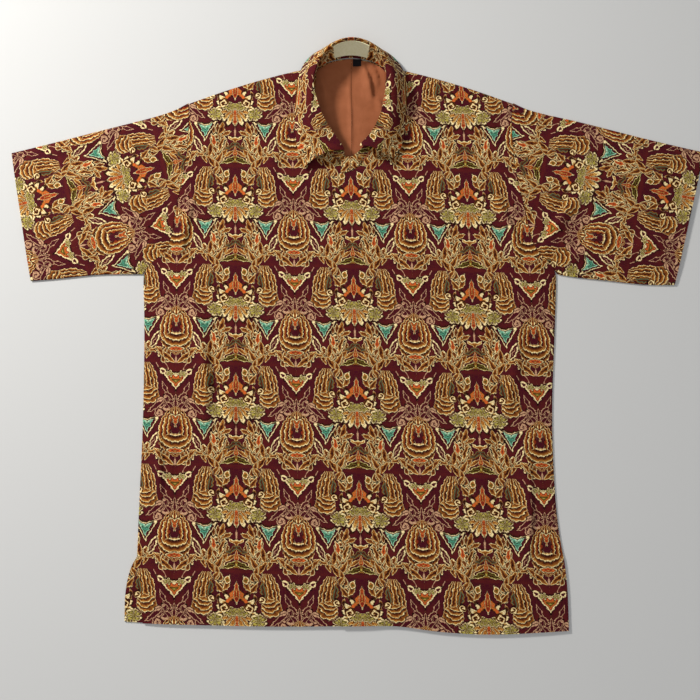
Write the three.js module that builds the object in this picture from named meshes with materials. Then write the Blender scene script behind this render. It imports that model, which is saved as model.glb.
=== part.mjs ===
// A short-sleeved batik shirt laid flat and face up, with its collar standing round an open neck.
// Millimetres. X runs across the shirt towards the wearer's left, Y from the hem to the collar,
// Z up from the surface that the back lies on. `out` is a distance from the centre front line,
// `up` is a height above the hem line, and `height` is a level above the surface.
import * as THREE from 'three';

// ---- cloth ----
const CLOTH = 1.2;            // wall of the printed cotton
const LINING = 1.0;           // wall of the lining and the labels
const GAP = 0.3;              // air between pieces at a seam
const ARMHOLE_GAP = 0.7;      // the same where the seam runs at a slant

// ---- how the upper layer lies ----
const LOFT = 3.2;             // how far the upper layer stands off the lower one
const LOFT_REACH = 45;        // distance from a folded edge at which it has its whole loft
const OPEN_LOFT = 0.45;       // share of the loft left at the hem and the cuffs
const OPEN_REACH = 70;        // distance from the hem or cuff at which the loft is whole again
const ROLL = 2;               // width of the rolled edge at the side seams and shoulders
const BACK_INSET = 2.6;       // the back stops this far inside the rolled edge
const ROLL_STARTS = [92, 104];  // heights between which the roll begins, above the vents

// ---- main sizes ----
const SHOULDER_OUT = 234;     // shoulder point, out from the centre line
const SHOULDER_UP = 733;      // the same, above the hem line
const UNDERARM_UP = 484;
const BACK_NECK_UP = 802;
const PLACKET_OUT = 14;       // each front passes the centre line by this much
const NECK_FRONT_UP = 626;    // neck seam at the placket
const PLACKET_FADE = 30;      // width over which the upper front comes down from the lower one
const STAND_BOW = 1.5;        // how far the stand bows outwards at its middle
const LINING_OUT = 110;       // half width of the lining that is built
const LINING_UP = 560;        // its lower end
const CENTRE_SEAM = 1;        // the lining's centre back seam, beside the centre line

// Side seams up to the underarm, then the armholes up to the shoulder point.
const SIDES = [
  { up: 0, right: 283, left: 296 },
  { up: 45, right: 288, left: 296 },
  { up: 88, right: 293, left: 292 },
  { up: 110, right: 293, left: 288 },
  { up: 168, right: 292, left: 282 },
  { up: 278, right: 289.5, left: 280 },
  { up: 376, right: 290, left: 285.5 },
  { up: 440, right: 291.5, left: 289 },
  { up: UNDERARM_UP, right: 294, left: 291 },
  { up: 503, right: 277, left: 277 },
  { up: 517, right: 260, left: 263 },
  { up: 546, right: 252, left: 252 },
  { up: 582, right: 248, left: 247.5 },
  { up: 604, right: 243, left: 239.5 },
  { up: 640, right: 236, left: 234 },
  { up: 677, right: 233, left: 231 },
  { up: 707, right: 232, left: 230 },
  { up: SHOULDER_UP, right: SHOULDER_OUT, left: SHOULDER_OUT },
];

// The back's flaps beside the side vents: the one on the wearer's right shows past the front.
const BACK_FLAPS = [
  { up: 0, right: 308, left: 291 },
  { up: 45, right: 309, left: 291 },
  { up: 76, right: 304, left: 289 },
  { up: 92, right: 290.4, left: 286 },
];

// Hem line: it drops a little on the wearer's left.
const HEM = [
  { out: -309, up: 5 },
  { out: -283, up: 3 },
  { out: -200, up: 1 },
  { out: -96, up: -1 },
  { out: 53, up: 0 },
  { out: 121, up: -8 },
  { out: 190, up: -12 },
  { out: 238, up: -10 },
  { out: 296, up: -7 },
];

// Shoulder line, the same on both sides, then the back neck.
const SHOULDER = [
  { out: 0, up: BACK_NECK_UP + BACK_INSET },
  { out: 26, up: 800 },
  { out: 50, up: 791 },
  { out: 105, up: 776 },
  { out: 165, up: 758 },
  { out: SHOULDER_OUT, up: SHOULDER_UP },
];

// Sleeves, a row for each section from the armhole to the cuff.
const SLEEVE_RIGHT = [
  { topOut: SHOULDER_OUT, topUp: SHOULDER_UP, underOut: 294, underUp: UNDERARM_UP },
  { topOut: 262, topUp: 718, underOut: 316, underUp: 484 },
  { topOut: 310, topUp: 705, underOut: 350, underUp: 484 },
  { topOut: 370, topUp: 689, underOut: 390, underUp: 480 },
  { topOut: 430, topUp: 673, underOut: 424, underUp: 476.5 },
  { topOut: 486, topUp: 659, underOut: 452, underUp: 474.5 },
];
const SLEEVE_LEFT = [
  { topOut: SHOULDER_OUT, topUp: SHOULDER_UP, underOut: 291, underUp: UNDERARM_UP },
  { topOut: 262, topUp: 720, underOut: 316, underUp: 479.5 },
  { topOut: 313, topUp: 709, underOut: 352, underUp: 476 },
  { topOut: 370, topUp: 694, underOut: 390, underUp: 471.5 },
  { topOut: 434, topUp: 677, underOut: 424, underUp: 468.5 },
  { topOut: 506, topUp: 660, underOut: 457, underUp: 468.5 },
];

// Neck seam of each front, from the shoulder's neck point down to the placket.
const NECK = [
  { out: 50, up: 787 },
  { out: 57, up: 772 },
  { out: 58.5, up: 750 },
  { out: 56, up: 728 },
  { out: 48, up: 702 },
  { out: 36, up: 675 },
  { out: 21, up: 648 },
  { out: 6, up: 631 },
  { out: -PLACKET_OUT, up: NECK_FRONT_UP },
];

// Collar sections from the back neck to the front: the stand's seam, the fold, the leaf's edge.
const COLLAR_BACK = {
  seamOut: 0, seamUp: 802, seamHeight: 2.6, foldOut: 0, foldUp: 814.5, foldHeight: 34,
  edgeOut: 0, edgeUp: 825, edgeHeight: 1.6,
};
const COLLAR_RIGHT = [
  { seamOut: 26, seamUp: 797.5, seamHeight: 2.6, foldOut: 28, foldUp: 804, foldHeight: 32,
    edgeOut: 34, edgeUp: 818, edgeHeight: 1.8 },
  { seamOut: 46, seamUp: 787, seamHeight: 4.6, foldOut: 46, foldUp: 782, foldHeight: 28.5,
    edgeOut: 62, edgeUp: 799, edgeHeight: 6 },
  { seamOut: 59, seamUp: 757, seamHeight: 6.7, foldOut: 53.5, foldUp: 757, foldHeight: 26,
    edgeOut: 75, edgeUp: 770, edgeHeight: 8.6 },
  { seamOut: 58, seamUp: 728, seamHeight: 7, foldOut: 48.5, foldUp: 731, foldHeight: 24,
    edgeOut: 79, edgeUp: 735, edgeHeight: 8.6 },
  { seamOut: 50, seamUp: 702, seamHeight: 7, foldOut: 38, foldUp: 702, foldHeight: 20,
    edgeOut: 80, edgeUp: 702, edgeHeight: 8.6 },
  { seamOut: 38, seamUp: 674, seamHeight: 7, foldOut: 27.5, foldUp: 678, foldHeight: 16,
    edgeOut: 77, edgeUp: 668, edgeHeight: 8.6 },
  { seamOut: 19.5, seamUp: 650.5, seamHeight: 6.9, foldOut: 18, foldUp: 657, foldHeight: 12,
    edgeOut: 68, edgeUp: 634, edgeHeight: 9 },
];
const COLLAR_LEFT = [
  { seamOut: 26, seamUp: 797.5, seamHeight: 2.6, foldOut: 30, foldUp: 805.5, foldHeight: 32,
    edgeOut: 36, edgeUp: 818, edgeHeight: 1.8 },
  { seamOut: 46, seamUp: 787, seamHeight: 4.6, foldOut: 48, foldUp: 782, foldHeight: 28.5,
    edgeOut: 64, edgeUp: 799, edgeHeight: 6 },
  { seamOut: 59, seamUp: 757, seamHeight: 6.7, foldOut: 50.5, foldUp: 755, foldHeight: 27,
    edgeOut: 80, edgeUp: 766, edgeHeight: 8.6 },
  { seamOut: 58, seamUp: 728, seamHeight: 7, foldOut: 47, foldUp: 729, foldHeight: 25,
    edgeOut: 80, edgeUp: 732, edgeHeight: 8.6 },
  { seamOut: 50, seamUp: 702, seamHeight: 7.2, foldOut: 40, foldUp: 701, foldHeight: 22,
    edgeOut: 77, edgeUp: 698, edgeHeight: 8.6 },
  { seamOut: 38, seamUp: 674, seamHeight: 7.8, foldOut: 31.5, foldUp: 678, foldHeight: 18,
    edgeOut: 73, edgeUp: 666, edgeHeight: 8.8 },
  { seamOut: 19.5, seamUp: 650.5, seamHeight: 8.5, foldOut: 21.5, foldUp: 658, foldHeight: 14,
    edgeOut: 54, edgeUp: 638, edgeHeight: 9.4 },
];
// The stand alone goes on past the leaf's points and overlaps at the front.
const STAND_END_RIGHT = [
  { seamOut: 5, seamUp: 634, seamHeight: 5.2, foldOut: 5, foldUp: 652, foldHeight: 6.8 },
  { seamOut: -14, seamUp: 628, seamHeight: 5.1, foldOut: -14, foldUp: 651, foldHeight: 5.9 },
];
const STAND_END_LEFT = [
  { seamOut: 5, seamUp: 634, seamHeight: 7.1, foldOut: 5, foldUp: 652, foldHeight: 10.2 },
  { seamOut: -14, seamUp: 628, seamHeight: 6.9, foldOut: -14, foldUp: 651, foldHeight: 9.8 },
];

// The largest folds: soft ridges along a line, tapering to nothing at both ends.
const FRONT_FOLDS = [
  { fromOut: -216, fromUp: 430, toOut: -197, toUp: 185, height: 1.5, width: 13 },
  { fromOut: 246, fromUp: 300, toOut: 226, toUp: 95, height: 0.9, width: 16 },
];
const LINING_FOLDS = [
  { fromOut: 14, fromUp: 792, toOut: 33, toUp: 735, height: 2, width: 7 },
  { fromOut: 37, fromUp: 786, toOut: 45, toUp: 768, height: 1.4, width: 6 },
];

// ---- where the rows and columns of each piece lie ----
const BODY_ROWS = [0, 8, 45, 80, 94, 106, 150, 205, 260, 315, 370, 425, 468, 484, 494, 503, 512,
  521, 537, 562, 592, 625, 660, 695, 718, 730.4, SHOULDER_UP];   // heights up the side
const FRONT_COLUMNS = [0, 0.0078, 0.03, 0.08, 0.17, 0.29, 0.41, 0.52, 0.575, 0.635, 0.695, 0.755, 0.815, 0.88,
  0.94, 1];
const NECK_POINT = 0.52;      // the share of a front's top edge that is shoulder
const BACK_COLUMNS = 17;
const SLEEVE_SECTIONS = [0, 0.07, 0.16, 0.3, 0.45, 0.6, 0.75, 0.88, 1];
const SLEEVE_ACROSS = BODY_ROWS.filter((up) => up >= UNDERARM_UP)
  .map((up) => (up - UNDERARM_UP) / (SHOULDER_UP - UNDERARM_UP));   // the body's rows at the armhole
const SLEEVE_WALL_INSET = 0.008;   // share of its width by which a sleeve's inner wall is narrower
const SLEEVE_BULGE = 0.9;     // how far a sleeve's folded edge stands out at half its height

// ---- materials ----
const cotton = (name, color) => new THREE.MeshStandardMaterial({ name, color, roughness: 0.85, metalness: 0 });
const printed = cotton('printed_cotton', 0x6e3f2a);
const terracotta = cotton('terracotta_lining', 0xab6a46);
const cream = cotton('woven_label', 0xd8d4a0);
const black = cotton('black_tape', 0x161416);

// ---- reading the tables ----
// A monotone cubic through a table: column `to` as a function of column `from`.
function smooth(rows, from, to) {
  const x = rows.map((row) => row[from]);
  const y = rows.map((row) => row[to]);
  const rise = x.slice(1).map((value, i) => (y[i + 1] - y[i]) / (value - x[i]));
  const slope = x.map((_, i) => {
    if (i === 0) return rise[0];
    if (i === x.length - 1) return rise[i - 1];
    if (rise[i - 1] * rise[i] <= 0) return 0;
    return (2 * rise[i - 1] * rise[i]) / (rise[i - 1] + rise[i]);
  });
  return (at) => {
    let i = 0;
    while (i < x.length - 2 && at > x[i + 1]) i += 1;
    const span = x[i + 1] - x[i];
    const t = THREE.MathUtils.clamp((at - x[i]) / span, 0, 1);
    const a = (1 + 2 * t) * (1 - t) ** 2;
    const b = t * (1 - t) ** 2;
    const c = t * t * (3 - 2 * t);
    const d = t * t * (t - 1);
    return a * y[i] + b * span * slope[i] + c * y[i + 1] + d * span * slope[i + 1];
  };
}

const hemUp = smooth(HEM, 'out', 'up');
const shoulderUp = smooth(SHOULDER, 'out', 'up');
const sideOut = { right: smooth(SIDES, 'up', 'right'), left: smooth(SIDES, 'up', 'left') };
const flapOut = { right: smooth(BACK_FLAPS, 'up', 'right'), left: smooth(BACK_FLAPS, 'up', 'left') };
const signOf = { right: -1, left: 1 };
const sleeveRows = { right: SLEEVE_RIGHT, left: SLEEVE_LEFT };

// ---- plan curves as lists of points ----
const plan = (x, y) => new THREE.Vector2(x, y);
const steps = (from, to, count) => Array.from({ length: count + 1 }, (_, i) => from + ((to - from) * i) / count);

const EDGE_STEPS = 14;        // pieces that a curved edge is cut into when distances are measured

function sideLine(side, from, to) {
  return steps(from, to, EDGE_STEPS).map((up) => plan(signOf[side] * sideOut[side](up), up));
}
function shoulderLine(side) {
  const neck = NECK[0].out;
  return steps(neck, SHOULDER_OUT, EDGE_STEPS).map((out) => plan(signOf[side] * out, shoulderUp(out)));
}
function sleeveLine(side, out, up) {
  return sleeveRows[side].map((row) => plan(signOf[side] * row[out], row[up]));
}

const FOLDED_EDGES = ['right', 'left'].flatMap((side) => [
  sideLine(side, 0, UNDERARM_UP),
  shoulderLine(side),
  sleeveLine(side, 'topOut', 'topUp'),
  sleeveLine(side, 'underOut', 'underUp'),
]);
const ROLLED_EDGES = ['right', 'left'].flatMap((side) => [
  sideLine(side, ROLL_STARTS[0], UNDERARM_UP),
  shoulderLine(side),
]);
const OPEN_EDGES = [
  HEM.map((row) => plan(row.out, row.up)),
  ...['right', 'left'].map((side) => {
    const cuff = sleeveRows[side].at(-1);
    return [plan(signOf[side] * cuff.topOut, cuff.topUp), plan(signOf[side] * cuff.underOut, cuff.underUp)];
  }),
];

function distanceTo(lines, x, y) {
  const here = new THREE.Vector3(x, y, 0);
  const near = new THREE.Vector3();
  let best = Infinity;
  for (const line of lines) {
    for (let i = 0; i < line.length - 1; i += 1) {
      const stretch = new THREE.Line3(
        new THREE.Vector3(line[i].x, line[i].y, 0),
        new THREE.Vector3(line[i + 1].x, line[i + 1].y, 0),
      );
      stretch.closestPointToPoint(here, true, near);
      best = Math.min(best, near.distanceTo(here));
    }
  }
  return best;
}

// ---- how high the cloth lies ----
function foldHeight(folds, x, y) {
  let height = 0;
  for (const fold of folds) {
    const from = plan(fold.fromOut, fold.fromUp);
    const along = plan(fold.toOut, fold.toUp).sub(from);
    const t = plan(x, y).sub(from).dot(along) / along.lengthSq();
    if (t <= 0 || t >= 1) continue;
    const away = plan(x, y).sub(from).sub(along.clone().multiplyScalar(t)).length();
    height += fold.height * Math.sin(Math.PI * t) * Math.exp(-((away / fold.width) ** 2));
  }
  return height;
}

// Underside of the upper layer: on the back at the folded edges, lofted between them.
function upperLevel(x, y) {
  const rise = Math.sin((Math.PI / 2) * Math.min(1, distanceTo(FOLDED_EDGES, x, y) / LOFT_REACH));
  const open = Math.min(1, distanceTo(OPEN_EDGES, x, y) / OPEN_REACH);
  const loft = LOFT * rise * (OPEN_LOFT + (1 - OPEN_LOFT) * open);
  return CLOTH + GAP + loft + rise * foldHeight(FRONT_FOLDS, x, y);
}

// How far the fronts roll down over the back's edge.
function rollDrop(x, y) {
  const begun = THREE.MathUtils.smoothstep(y, ...ROLL_STARTS);
  const share = 1 - Math.min(1, distanceTo(ROLLED_EDGES, x, y) / ROLL);
  return CLOTH * share * begun;
}

// ---- solids ----
// A wall between two matching grids of points, closed round its edges, or a ring of columns.
function wall(outer, inner, ring = false) {
  const rows = outer.length;
  const columns = outer[0].length;
  const index = [];
  const at = (side, i, j) => side * rows * columns + i * columns + (j % columns);
  const quad = (a, b, c, d) => index.push(a, b, c, a, c, d);
  const spans = ring ? columns : columns - 1;
  for (let j = 0; j < spans; j += 1) {
    for (let i = 0; i < rows - 1; i += 1) {
      quad(at(0, i, j), at(0, i, j + 1), at(0, i + 1, j + 1), at(0, i + 1, j));
      quad(at(1, i, j), at(1, i + 1, j), at(1, i + 1, j + 1), at(1, i, j + 1));
    }
    quad(at(0, 0, j), at(1, 0, j), at(1, 0, j + 1), at(0, 0, j + 1));
    quad(at(0, rows - 1, j + 1), at(1, rows - 1, j + 1), at(1, rows - 1, j), at(0, rows - 1, j));
  }
  for (let i = 0; i < rows - 1 && !ring; i += 1) {
    quad(at(0, i + 1, 0), at(1, i + 1, 0), at(1, i, 0), at(0, i, 0));
    quad(at(0, i, columns - 1), at(1, i, columns - 1), at(1, i + 1, columns - 1), at(0, i + 1, columns - 1));
  }
  const points = [...outer.flat(), ...inner.flat()];
  if (volume(points, index) < 0) index.reverse();
  const geometry = new THREE.BufferGeometry().setFromPoints(points);
  geometry.setIndex(index);
  geometry.computeVertexNormals();
  return geometry;
}

function volume(points, index) {
  let sum = 0;
  const cross = new THREE.Vector3();
  for (let i = 0; i < index.length; i += 3) {
    cross.crossVectors(points[index[i + 1]], points[index[i + 2]]);
    sum += points[index[i]].dot(cross);
  }
  return sum / 6;
}

// A panel on a plan patch, with a level for its underside.
function panel(patch, across, along, level, thickness) {
  const under = along.map((t) => across.map((s) => {
    const point = patch(s, t);
    return new THREE.Vector3(point.x, point.y, level(point.x, point.y));
  }));
  const over = under.map((row) => row.map((point) => point.clone().setZ(point.z + thickness)));
  return wall(over, under);
}

// A wall round a curved mid-surface, half its thickness to each side.
function shell(grid, thickness) {
  const offset = (distance) => grid.map((row, i) => row.map((point, j) => {
    const along = grid[Math.min(i + 1, grid.length - 1)][j].clone().sub(grid[Math.max(i - 1, 0)][j]);
    const across = row[Math.min(j + 1, row.length - 1)].clone().sub(row[Math.max(j - 1, 0)]);
    const normal = along.cross(across).normalize();
    return point.clone().addScaledVector(normal, distance);
  }));
  return wall(offset(thickness / 2), offset(-thickness / 2));
}

// The patch between four plan curves: bottom and top run over s, first and last over t.
function patchOf(bottom, top, first, last) {
  const corners = [bottom(0), bottom(1), top(0), top(1)];
  const mix = (s, t, axis) => (1 - t) * bottom(s)[axis] + t * top(s)[axis]
    + (1 - s) * first(t)[axis] + s * last(t)[axis]
    - (1 - s) * (1 - t) * corners[0][axis] - s * (1 - t) * corners[1][axis]
    - (1 - s) * t * corners[2][axis] - s * t * corners[3][axis];
  return (s, t) => plan(mix(s, t, 'x'), mix(s, t, 'y'));
}

const lerp = THREE.MathUtils.lerp;

// ---- pieces ----
const JOIN_POWER = 8;         // how late the shoulder line bends down to the neck seam's start
const LIFT_START = PLACKET_OUT + 4;   // past the placket's edge, where the upper front starts to come down
function front(side) {
  const sign = signOf[side];
  const cornerOut = sideOut[side](0);
  const hem = (s) => {
    const x = sign * lerp(cornerOut, -PLACKET_OUT, s);
    return plan(x, hemUp(x));
  };
  const neck = new THREE.SplineCurve(NECK.map((row) => plan(sign * row.out, row.up)));
  const top = (s) => {
    if (s >= NECK_POINT) return neck.getPointAt((s - NECK_POINT) / (1 - NECK_POINT));
    const t = s / NECK_POINT;
    const out = lerp(SHOULDER.at(-1).out, NECK[0].out, t);
    const join = lerp(0, NECK[0].up - shoulderUp(NECK[0].out), t ** JOIN_POWER);
    return plan(sign * out, shoulderUp(out) + join);
  };
  const outer = (t) => plan(sign * sideOut[side](t * SHOULDER_UP), t === 0 ? hem(0).y : t * SHOULDER_UP);
  const inner = (t) => plan(-sign * PLACKET_OUT, lerp(hem(1).y, NECK_FRONT_UP, t));
  const lift = (x) => (side === 'left'
    ? (CLOTH + GAP) * (1 - THREE.MathUtils.smoothstep(x, LIFT_START, LIFT_START + PLACKET_FADE))
    : 0);
  const level = (x, y) => upperLevel(x, y) + lift(x) - rollDrop(x, y);
  const along = BODY_ROWS.map((up) => up / SHOULDER_UP);
  return panel(patchOf(hem, top, outer, inner), FRONT_COLUMNS, along, level, CLOTH);
}

// The back reaches past the fronts at the vents and stops inside their rolled edges above.
function backOut(side, up) {
  const vent = BACK_FLAPS.at(-1).up;
  if (up <= vent) return flapOut[side](up);
  const inset = BACK_INSET * (1 - THREE.MathUtils.smoothstep(up, UNDERARM_UP, UNDERARM_UP + 20));
  return sideOut[side](up) - inset;
}

function back() {
  const edge = (side) => (t) => {
    const up = t * SHOULDER_UP;
    const x = signOf[side] * backOut(side, up);
    const shoulder = THREE.MathUtils.smoothstep(up, BODY_ROWS.at(-3), SHOULDER_UP);
    return plan(x, t === 0 ? hemUp(x) : up - BACK_INSET * shoulder);
  };
  const right = edge('right');
  const left = edge('left');
  const hem = (s) => {
    const x = lerp(right(0).x, left(0).x, s);
    return plan(x, hemUp(x));
  };
  const top = (s) => {
    const x = lerp(right(1).x, left(1).x, s);
    return plan(x, shoulderUp(Math.abs(x)) - BACK_INSET);
  };
  const across = steps(0, 1, BACK_COLUMNS - 1);
  const along = BODY_ROWS.map((up) => up / SHOULDER_UP);
  return panel(patchOf(hem, top, right, left), across, along, () => 0, CLOTH);
}

// A sleeve is a flattened tube: its under layer lies on the surface, its upper layer is lofted.
function sleeve(side) {
  const sign = signOf[side];
  const rows = sleeveRows[side].map((row, i) => ({ ...row, place: i / (sleeveRows[side].length - 1) }));
  const column = (name) => smooth(rows, 'place', name);
  const [topOut, topUp, underOut, underUp] = ['topOut', 'topUp', 'underOut', 'underUp'].map(column);
  const under = (s) => plan(sign * (underOut(s) + ARMHOLE_GAP), underUp(s));
  const top = (s) => plan(sign * (topOut(s) + ARMHOLE_GAP), topUp(s));
  const armhole = (t) => {
    const up = lerp(UNDERARM_UP, SHOULDER_UP, t);
    return plan(sign * (sideOut[side](up) + ARMHOLE_GAP), up);
  };
  const cuff = (t) => plan(lerp(under(1).x, top(1).x, t), lerp(under(1).y, top(1).y, t));
  // s runs up the armhole here and t out along the sleeve
  const patch = patchOf(armhole, cuff, under, top);
  const level = (point, thickness) => upperLevel(point.x, point.y) + thickness;
  const ring = (section, inset, isOuter) => {
    const place = (t) => patch(THREE.MathUtils.clamp(t, inset, 1 - inset), section);
    const upper = SLEEVE_ACROSS.map((t) => {
      const point = place(t);
      return new THREE.Vector3(point.x, point.y, level(point, isOuter ? CLOTH : 0));
    });
    const lower = [...SLEEVE_ACROSS].reverse().map((t) => {
      const point = place(t);
      return new THREE.Vector3(point.x, point.y, isOuter ? 0 : CLOTH);
    });
    const bulge = isOuter ? SLEEVE_BULGE : SLEEVE_BULGE / 3;
    const middle = (a, b, direction) => a.clone().add(b).multiplyScalar(0.5)
      .addScaledVector(direction, bulge);
    const upwards = new THREE.Vector3(0, 1, 0);
    return [
      ...upper,
      middle(upper.at(-1), lower[0], upwards),
      ...lower,
      middle(lower.at(-1), upper[0], upwards.clone().negate()),
    ];
  };
  const outer = SLEEVE_SECTIONS.map((section) => ring(section, 0, true));
  const inner = SLEEVE_SECTIONS.map((section) => ring(section, SLEEVE_WALL_INSET, false));
  return wall(outer, inner, true);
}

// Curves round the neck through one point of every collar section, from right to left.
function collarCurve(point, withEnds) {
  const mirrored = (row) => Object.fromEntries(Object.entries(row)
    .map(([name, value]) => [name, name.endsWith('Out') ? -value : value]));
  const right = withEnds ? [...COLLAR_RIGHT, ...STAND_END_RIGHT] : COLLAR_RIGHT;
  const left = withEnds ? [...COLLAR_LEFT, ...STAND_END_LEFT] : COLLAR_LEFT;
  const rows = [...right.map(mirrored).reverse(), COLLAR_BACK, ...left];
  const points = rows.map((row) => new THREE.Vector3(row[`${point}Out`], row[`${point}Up`], row[`${point}Height`]));
  const curve = new THREE.CatmullRomCurve3(points);
  return { at: (index) => curve.getPoint(index / (rows.length - 1)), last: rows.length - 1 };
}

// The stand's mid-surface: place is counted in sections from the right end, v from seam to fold.
const standSeam = collarCurve('seam', true);
const standFold = collarCurve('fold', true);
const NECK_MIDDLE = new THREE.Vector3(0, 720, 0);
const STAND_ROWS = [0, 1 / 3, 2 / 3, 1];
function standPoint(place, v) {
  const point = standSeam.at(place).lerp(standFold.at(place), v);
  const outwards = point.clone().sub(NECK_MIDDLE).setZ(0).normalize();
  return point.addScaledVector(outwards, STAND_BOW * Math.sin(Math.PI * v));
}
function collarStand() {
  const places = steps(0, standSeam.last, standSeam.last * 2);
  return shell(places.map((place) => STAND_ROWS.map((v) => standPoint(place, v))), CLOTH);
}

// The leaf turns over the stand's top edge and falls outwards on to the fronts and behind.
const LEAF_CLEAR = 1.5;       // mid-surface above the stand's top edge
const LEAF_CROWN = 2;         // how far the turn stands up before it falls
const LEAF_TURN = 0.34;       // share of the fall's width that the turn takes
const LEAF_LIE = 0.28;        // share of it that lies down before the edge
const LEAF_LIE_RISE = 0.3;    // how high that part starts, as a share of the fall
const LEAF_ROWS = [0, 0.16, 0.36, 0.58, 0.8, 1];
function collarLeaf() {
  const fold = collarCurve('fold', false);
  const edge = collarCurve('edge', false);
  const places = steps(0, fold.last, fold.last * 2);
  const sections = places.map((place) => {
    const start = fold.at(place).add(new THREE.Vector3(0, 0, LEAF_CLEAR));
    const end = edge.at(place);
    const fall = end.clone().sub(start);
    const outwards = fall.clone().setZ(0);
    const crown = start.clone().addScaledVector(outwards, LEAF_TURN);
    crown.z += LEAF_CROWN;
    const lower = end.clone().addScaledVector(outwards, -LEAF_LIE);
    lower.z -= LEAF_LIE_RISE * fall.z;
    const section = new THREE.CubicBezierCurve3(start, crown, lower, end);
    return LEAF_ROWS.map((t) => section.getPoint(t));
  });
  return shell(sections, CLOTH);
}

// The lining shows inside the neck: two panels that meet at the centre back seam.
const LINING_INSET = { from: 5.2, to: 16, start: 36, end: 62 };   // kept below the shoulder line, more so outwards
const LINING_COLUMNS = [0, 0.06, 0.12, 0.18, 0.25, 0.33, 0.42, 0.6, 1];
function liningPanel(side) {
  const sign = signOf[side];
  const seam = CENTRE_SEAM + sign * GAP / 2;
  const top = (x) => {
    const { from, to, start, end } = LINING_INSET;
    return shoulderUp(Math.abs(x)) - lerp(from, to, THREE.MathUtils.smoothstep(Math.abs(x), start, end));
  };
  const patch = (s, t) => {
    const x = lerp(seam, sign * LINING_OUT, s);
    return plan(x, lerp(LINING_UP, top(x), t));
  };
  const level = (x, y) => CLOTH + GAP + foldHeight(LINING_FOLDS, x, y);
  return panel(patch, LINING_COLUMNS, steps(0, 1, 12), level, LINING);
}

// The maker's label lies on the stand's inner face at the back neck.
const LABEL_PLACES = [-0.9, -0.5, 0, 0.5, 0.9];   // counted in collar sections from the middle
const LABEL_ROWS = [0.14, 1 / 3, 2 / 3, 0.92];    // from the seam towards the fold
const LABEL_OFF = CLOTH / 2 + GAP + LINING / 2;
const LABEL_PROBE = { place: 0.1, v: 0.05 };      // steps to either side, for the stand's slope
function neckLabel() {
  const middle = standSeam.last / 2;
  const onStand = (place, v) => {
    const before = Math.floor(place * 2) / 2;
    return standPoint(before, v).lerp(standPoint(before + 0.5, v), (place - before) * 2);
  };
  const inwards = new THREE.Vector3();
  const grid = LABEL_PLACES.map((step) => LABEL_ROWS.map((v) => {
    const place = middle + step;
    const along = onStand(place + LABEL_PROBE.place, v).sub(onStand(place - LABEL_PROBE.place, v));
    const across = onStand(place, v + LABEL_PROBE.v).sub(onStand(place, v - LABEL_PROBE.v));
    inwards.crossVectors(along, across).normalize();
    return onStand(place, v).addScaledVector(inwards, LABEL_OFF);
  }));
  return shell(grid, LINING);
}

// The size tab hangs from the back neck seam over the lining.
const TAB = { fromOut: 3, toOut: 15, fromUp: 788, toUp: 798.5 };
function sizeTab() {
  const patch = (s, t) => plan(lerp(TAB.fromOut, TAB.toOut, s), lerp(TAB.fromUp, TAB.toUp, t));
  const level = (x, y) => CLOTH + 2 * GAP + LINING + foldHeight(LINING_FOLDS, x, y);
  return panel(patch, steps(0, 1, 3), steps(0, 1, 2), level, LINING);
}

// ---- the shirt ----
const pieces = {
  back: [back(), printed],
  front_right: [front('right'), printed],
  front_left: [front('left'), printed],
  sleeve_right: [sleeve('right'), printed],
  sleeve_left: [sleeve('left'), printed],
  collar_stand: [collarStand(), printed],
  collar_leaf: [collarLeaf(), printed],
  lining_right: [liningPanel('right'), terracotta],
  lining_left: [liningPanel('left'), terracotta],
  neck_label: [neckLabel(), cream],
  size_tab: [sizeTab(), black],
};

const shirt = new THREE.Group();
for (const [name, [geometry, material]] of Object.entries(pieces)) {
  const mesh = new THREE.Mesh(geometry, material.clone());
  mesh.name = name;
  shirt.add(mesh);
}

// The origin is under the middle of the shirt's box.
const box = new THREE.Box3().setFromObject(shirt);
const middle = box.getCenter(new THREE.Vector3());
shirt.position.set(-middle.x, -middle.y, -box.min.z);

export default shirt;
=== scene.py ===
# %% [markdown]
# # A batik shirt, laid flat
# This lesson dresses a short-sleeved batik shirt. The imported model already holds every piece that
# a maker cuts and sews, as a plain wall of cloth in its true place. Here each wall becomes fine
# cloth: its copy is smoothed, creased and given a printed or plain fabric. We start by loading the
# model and keeping its box, because the finished shirt has to stay inside it.

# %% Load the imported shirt
import math

import bpy
import numpy as np
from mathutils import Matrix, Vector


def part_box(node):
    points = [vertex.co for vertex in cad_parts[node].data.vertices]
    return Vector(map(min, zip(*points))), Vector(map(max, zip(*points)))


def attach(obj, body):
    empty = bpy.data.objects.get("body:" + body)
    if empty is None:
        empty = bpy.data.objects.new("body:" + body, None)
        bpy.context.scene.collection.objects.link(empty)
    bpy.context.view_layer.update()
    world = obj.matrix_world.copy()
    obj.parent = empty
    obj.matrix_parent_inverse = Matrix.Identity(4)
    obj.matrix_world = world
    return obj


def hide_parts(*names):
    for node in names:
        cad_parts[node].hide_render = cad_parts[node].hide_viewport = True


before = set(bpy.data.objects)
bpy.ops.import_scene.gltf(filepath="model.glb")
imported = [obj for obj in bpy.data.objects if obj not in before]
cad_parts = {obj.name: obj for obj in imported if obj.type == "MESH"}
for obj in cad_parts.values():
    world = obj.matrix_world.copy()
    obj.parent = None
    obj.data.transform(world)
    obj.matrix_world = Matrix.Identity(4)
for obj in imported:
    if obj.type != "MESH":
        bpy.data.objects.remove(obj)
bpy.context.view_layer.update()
print("pieces:", sorted(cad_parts))

# %% [markdown]
# ## Where things are
# The shirt's own sizes are kept in millimetres, measured from the centre front line and from the
# hem line, as a cutter measures them. The left front's edge and the back neck give those two
# lines in the frame, and a small function counts points from them.

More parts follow.
